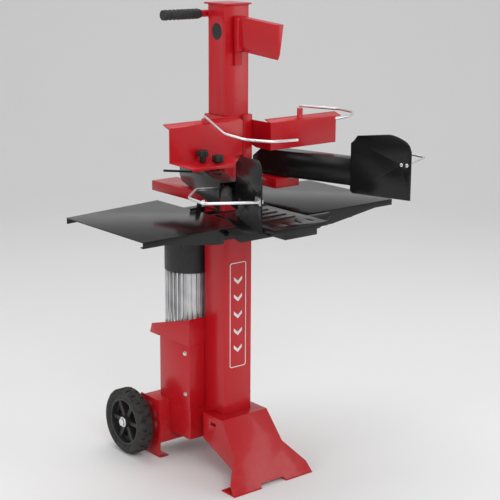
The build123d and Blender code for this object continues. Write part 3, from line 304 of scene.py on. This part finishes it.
def extent(node):
    """A CAD node's lowest and highest corner."""
    piece = frame["nodes"][node]
    corners = [piece.matrix_world @ Vector(corner) for corner in piece.bound_box]
    return (Vector([min(corner[axis] for corner in corners) for axis in range(3)]),
            Vector([max(corner[axis] for corner in corners) for axis in range(3)]))


def lathe(name, body, slot, origin, axis, outline, steps=48):
    """A closed turned piece: its outline in (radius, distance along the axis), both in millimetres."""
    turn = Vector(axis).to_track_quat("Z", "Y").to_matrix()
    work = bmesh.new()
    rings = []
    for radius, distance in outline:
        turns = [2 * pi * step / steps for step in range(steps)]
        ring = [Vector((radius * cos(angle), radius * sin(angle), distance)) for angle in turns]
        rings.append([work.verts.new(Vector(origin) + turn @ (MM * point)) for point in ring])
    for low, high in zip(rings, rings[1:]):
        for step in range(steps):
            following = (step + 1) % steps
            work.faces.new((low[step], low[following], high[following], high[step]))
    work.faces.new(list(reversed(rings[0])))
    work.faces.new(rings[-1])
    bmesh.ops.recalc_face_normals(work, faces=work.faces)
    return show(mesh_from(work, name), name, body, slot)


def weld(name, body, slot, points, radius=2.4, ripple=3.2):
    """A weld bead along a route: a lumpy round run with a ripple at every step of the torch."""
    spacing = 1.1
    around = 10
    work = bmesh.new()
    points = [Vector(point) for point in points]
    for start, end in zip(points, points[1:]):
        length = (end - start).length / MM
        direction = (end - start).normalized()
        across = direction.orthogonal().normalized()
        beside = direction.cross(across)
        count = max(2, round(length / spacing))
        run = []
        for step in range(count + 1):
            distance = length * step / count
            swell = radius * (0.82 + 0.18 * abs(sin(pi * distance / ripple)))
            center = start + direction * (distance * MM)
            run.append([work.verts.new(center + (across * cos(2 * pi * turn / around)
                                                 + beside * sin(2 * pi * turn / around)) * swell * MM)
                        for turn in range(around)])
        for low, high in zip(run, run[1:]):
            for turn in range(around):
                following = (turn + 1) % around
                work.faces.new((low[turn], low[following], high[following], high[turn]))
        work.faces.new(list(reversed(run[0])))
        work.faces.new(run[-1])
    bmesh.ops.recalc_face_normals(work, faces=work.faces)
    return show(mesh_from(work, name), name, body, slot, WELD_SMOOTH_ANGLE)


def around_box(low, high, height):
    """The corners of a level loop round a box, back to where it starts."""
    return [(low.x, low.y, height), (high.x, low.y, height), (high.x, high.y, height),
            (low.x, high.y, height), (low.x, low.y, height)]


def wheel_details():
    """A plated hub cap with its ring, on the outer face of each wheel."""
    for side, tail in ((-1, "left"), (1, "right")):
        low, high = extent("wheel_" + tail)
        middle = (low + high) / 2
        face = Vector((high.x if side > 0 else low.x, middle.y, middle.z))
        lathe("hub_ring_" + tail, "road_wheel_" + tail, "zinc", face, (side, 0, 0),
              [(17, -1.5), (17, 0.6), (15.6, 1.8), (13.5, 1.8)])
        lathe("hub_cap_" + tail, "road_wheel_" + tail, "zinc", face, (side, 0, 0),
              [(12.5, -1), (12.5, 2.5), (11.6, 4.4), (8.6, 6.0), (4.2, 6.9), (0.5, 7.1)])


def grip_rings():
    """Raised finger ribs round the transport handle's grip."""
    low, high = extent("transport_grip")
    middle = (low + high) / 2
    ribs = 9
    margin = 14 * MM
    grip_radius = 0.5 * (high.z - low.z) / MM
    for rib in range(ribs):
        x = low.x + margin + (high.x - low.x - 2 * margin) * rib / (ribs - 1)
        lathe(f"grip_rib_{rib}", "ram", "grip", (x, middle.y, middle.z), (1, 0, 0),
              [(grip_radius - 3, -3.2), (grip_radius - 0.6, -2.0), (grip_radius, 0),
               (grip_radius - 0.6, 2.0), (grip_radius - 3, 3.2)], steps=40)


def weld_details():
    """Weld beads where the plates of the frame and of the ram meet."""
    low, high = extent("ram_column")
    weld("cap_weld", "ram", "red", around_box(low, high, high.z))
    low, high = extent("column")
    table_top = extent("centre_table")[1].z
    weld("table_weld", "root", "black", around_box(low, high, table_top))
    for side, tail in ((-1, "left"), (1, "right")):
        wing_low, wing_high = extent("wing_" + tail)
        x = side * max(abs(low.x), abs(high.x))
        y = wing_high.y
        foot_z = wing_low.z + 50 * MM
        top_z = wing_high.z - 34 * MM
        weld("wing_weld_" + tail, "root", "red", [(x, y, foot_z), (x, y, top_z)])


def switch_box_details():
    """Screws at the corners of the switch box's lid, and the gland its lead would pass through."""
    low, high = extent("switch_box")
    inset = 8 * MM
    for corner, (y, z) in enumerate(((low.y + inset, low.z + inset), (high.y - inset, low.z + inset),
                                     (low.y + inset, high.z - inset), (high.y - inset, high.z - inset))):
        lathe(f"lid_screw_{corner}", "root", "zinc", (high.x, y, z), (1, 0, 0),
              [(3.6, -0.4), (3.6, 0.8), (2.9, 1.6), (1.0, 1.9)], steps=24)
    gland = Vector(((low.x + high.x) / 2, (low.y + high.y) / 2, low.z))
    lathe("cable_gland", "root", "plastic", gland, (0, 0, -1),
          [(11, -1), (11, 6), (9.2, 7.4), (9.2, 15), (7.2, 17), (4.5, 17.4)], steps=40)


def arm_details():
    """Washers under the arms' swing bolts, and the short rod that stands out of the left arm's tail."""
    for side, tail in ((-1, "left"), (1, "right")):
        head_top = extent("carrier_" + tail)[1].z
        pin = Vector((side * ARM_PIN_X, ARM_PIN_Y, head_top - SWING_HEAD - SWING_WASHER))
        lathe("arm_washer_" + tail, "yoke", "zinc", pin, (0, 0, 1),
              [(12.6, 0.3), (13, 0.7), (13, 1.2), (12.6, 1.5)], steps=40)
    forwards = Vector((-sin(ARM_FLARE_LEFT), -cos(ARM_FLARE_LEFT), 0))
    outwards = Vector((-cos(ARM_FLARE_LEFT), sin(ARM_FLARE_LEFT), 0))
    pin = Vector((-ARM_PIN_X, ARM_PIN_Y, ROD_HEIGHT))
    start, end = [pin + forwards * along + outwards * across for along, across in (ROD_ROOT, ROD_TIP)]
    length = (end - start).length / MM
    lathe("arm_stop_rod", "control_arm_left", "black", start, (end - start).normalized(),
          [(ROD_RADIUS, 0), (ROD_RADIUS, length - 1), (ROD_RADIUS - 1, length)], steps=28)


wheel_details()
grip_rings()
weld_details()
switch_box_details()
arm_details()


# ---- stage, light and camera ----------------------------------------------------------------------

def plain_stage():
    """A pale seamless floor that curves up into a backdrop."""
    floor_half = 9.0
    sweep_start = 4.0
    sweep_radius = 2.5
    steps = 16
    work = bmesh.new()
    profile = [(-floor_half, 0.0), (sweep_start, 0.0)]
    for step in range(1, steps + 1):
        turn = 0.5 * pi * step / steps
        profile.append((sweep_start + sweep_radius * sin(turn), sweep_radius * (1 - cos(turn))))
    profile.append((sweep_start + sweep_radius, 9.0))
    rows = [[work.verts.new((side * floor_half, y, z)) for side in (-1, 1)] for y, z in profile]
    for low, high in zip(rows, rows[1:]):
        work.faces.new((low[0], low[1], high[1], high[0]))
    mesh = mesh_from(work, "studio_floor")
    paper = Shader("studio_paper", 0.85)
    paper.colour(paper.blend(paper.noise(2.0), (0.93, 0.93, 0.93), (0.9, 0.9, 0.9)))
    mesh.materials.append(paper.material)
    mesh.polygons.foreach_set("use_smooth", [True] * len(mesh.polygons))
    floor = bpy.data.objects.new("studio_floor", mesh)
    floor.rotation_euler.z = -camera_yaw
    bpy.context.scene.collection.objects.link(floor)


camera_yaw = radians(39.32)
camera_pitch = radians(13.98)
camera_roll = radians(0.35)
camera_place = (-2.5355, -3.1314, 1.7331)
camera_lens = 96.14
sensor_width = 36.0


def camera():
    data = bpy.data.cameras.new("camera")
    data.lens = camera_lens
    data.sensor_width = sensor_width
    eye = bpy.data.objects.new("camera", data)
    aim = Matrix.Rotation(-camera_yaw, 4, "Z") @ Matrix.Rotation(pi / 2 - camera_pitch, 4, "X")
    eye.matrix_world = Matrix.Translation(camera_place) @ aim @ Matrix.Rotation(camera_roll, 4, "Z")
    bpy.context.scene.collection.objects.link(eye)
    bpy.context.scene.camera = eye


def area_light(name, place, target, size, power):
    data = bpy.data.lights.new(name, "AREA")
    data.shape = "RECTANGLE"
    data.size, data.size_y = size
    data.energy = power
    lamp = bpy.data.objects.new(name, data)
    lamp.location = place
    lamp.rotation_euler = (Vector(target) - Vector(place)).to_track_quat("-Z", "Y").to_euler()
    bpy.context.scene.collection.objects.link(lamp)


def lights():
    middle = (0.0, 0.0, 0.8)
    area_light("key_light", (-1.4, -3.2, 2.9), middle, (2.2, 2.2), 46.0)
    area_light("left_light", (-3.4, 0.3, 1.8), middle, (1.6, 2.4), 20.0)
    area_light("right_light", (2.6, -2.4, 2.0), middle, (1.6, 2.4), 22.0)
    area_light("top_light", (0.2, 0.8, 4.0), middle, (3.0, 3.0), 46.0)
    world = bpy.data.worlds.new("studio")
    world.use_nodes = True
    world.node_tree.nodes["Background"].inputs["Color"].default_value = (1.0, 1.0, 1.0, 1.0)
    world.node_tree.nodes["Background"].inputs["Strength"].default_value = 0.5
    bpy.context.scene.world = world
    bpy.context.scene.view_settings.view_transform = "Standard"


plain_stage()
camera()
lights()
